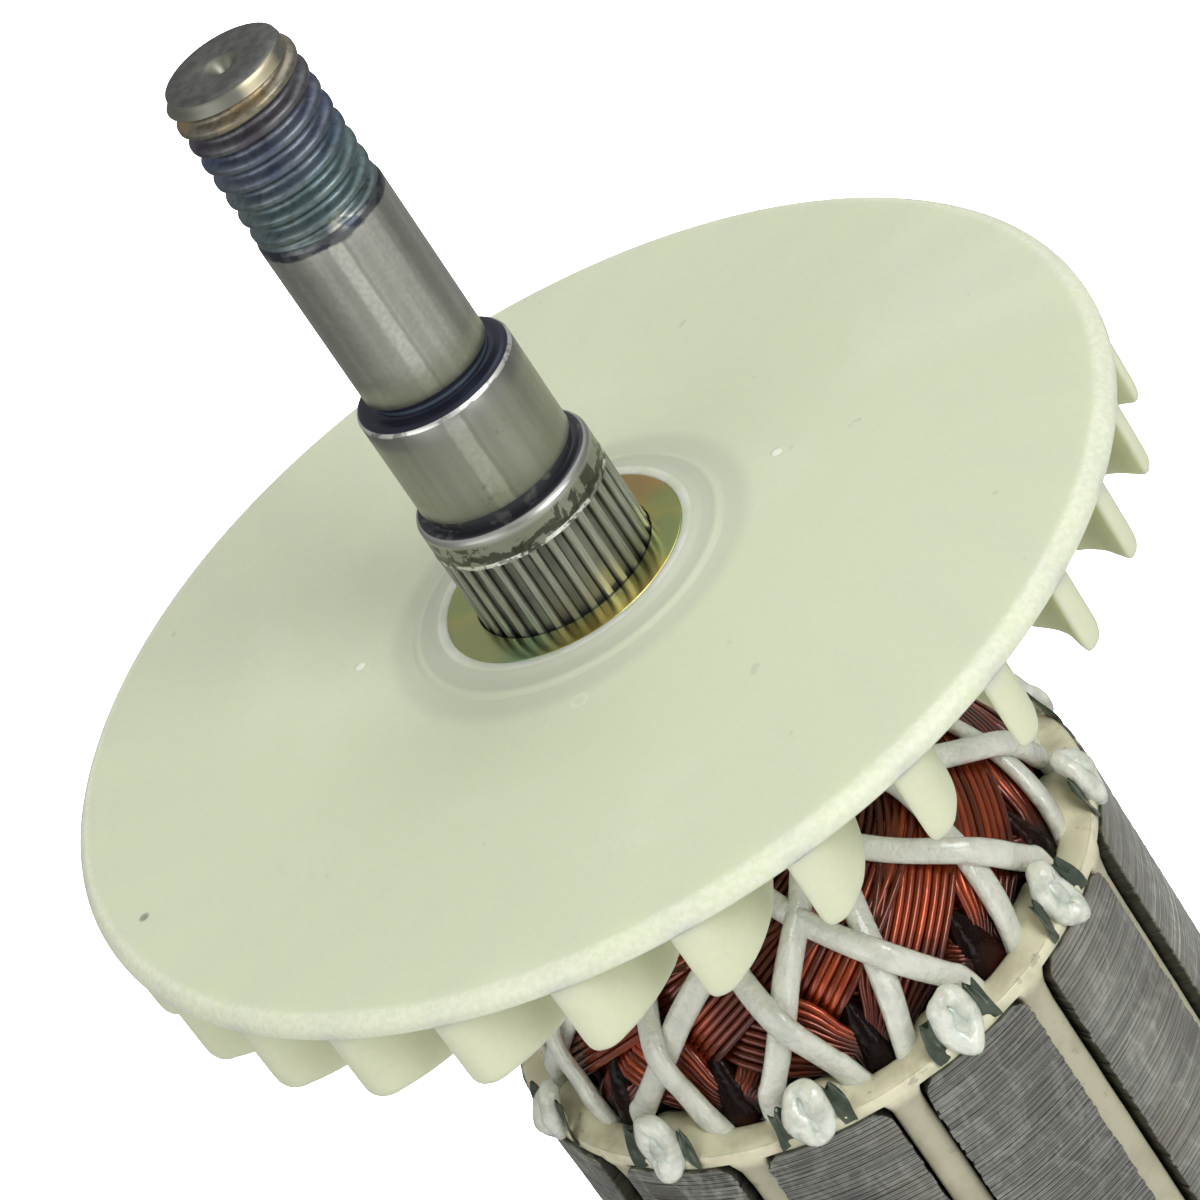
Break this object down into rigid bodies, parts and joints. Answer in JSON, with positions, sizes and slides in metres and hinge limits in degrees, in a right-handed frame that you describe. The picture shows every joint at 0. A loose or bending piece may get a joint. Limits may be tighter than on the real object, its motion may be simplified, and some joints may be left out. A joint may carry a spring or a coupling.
{
  "type": "motor armature",
  "caption": "Motor armature: stepped shaft with threaded nose, swept-blade cooling fan, laced winding in a slotted laminated core, and a copper commutator.",
  "frame": {"origin": "on the shaft's axis, in the middle of the drive-end bearing seat", "axes": "+Z along the shaft towards the threaded nose; +Y through the middle of a core slot"},
  "size_m": [0.102, 0.102, 0.2219],
  "materials": {
    "hardened_steel": "ground, with heat tint and light staining",
    "zinc_steel": "bright, yellow passivated",
    "fan_nylon": "satin moulding, mineral filled",
    "lamination_steel": "stacked sheet edges, varnished",
    "cream_plastic": "satin moulding",
    "wedge_strip": "varnished strip",
    "green_film": "thin film",
    "enamelled_wire": "red-brown enamel and varnish, glossy",
    "lacing_cord": "braided cord, varnished",
    "tube_laminate": "satin",
    "brown_moulding": "satin moulding",
    "bar_copper": "turned copper"
  },
  "bodies": {
    "root": {"coil_01": "enamelled_wire", "coil_02": "enamelled_wire", "coil_03": "enamelled_wire", "coil_04": "enamelled_wire", "coil_05": "enamelled_wire", "coil_06": "enamelled_wire", "coil_07": "enamelled_wire", "coil_08": "enamelled_wire", "coil_09": "enamelled_wire", "coil_10": "enamelled_wire", "coil_11": "enamelled_wire", "coil_12": "enamelled_wire", "commutator_bars": "bar_copper", "commutator_hub": "brown_moulding", "core_stack": "lamination_steel", "fan": "fan_nylon", "fan_sleeve": "zinc_steel", "front_end_insulation": "cream_plastic", "insulating_tube": "tube_laminate", "lacing_loops": "lacing_cord", "lacing_over": "lacing_cord", "lacing_under": "lacing_cord", "rear_end_insulation": "cream_plastic", "shaft": "hardened_steel", "slot_liner_01": "green_film", "slot_liner_02": "green_film", "slot_liner_03": "green_film", "slot_liner_04": "green_film", "slot_liner_05": "green_film", "slot_liner_06": "green_film", "slot_liner_07": "green_film", "slot_liner_08": "green_film", "slot_liner_09": "green_film", "slot_liner_10": "green_film", "slot_liner_11": "green_film", "slot_liner_12": "green_film", "slot_wedge_01": "wedge_strip", "slot_wedge_02": "wedge_strip", "slot_wedge_03": "wedge_strip", "slot_wedge_04": "wedge_strip", "slot_wedge_05": "wedge_strip", "slot_wedge_06": "wedge_strip", "slot_wedge_07": "wedge_strip", "slot_wedge_08": "wedge_strip", "slot_wedge_09": "wedge_strip", "slot_wedge_10": "wedge_strip", "slot_wedge_11": "wedge_strip", "slot_wedge_12": "wedge_strip", "winding_leads": "enamelled_wire"}
  },
  "joints": []
}
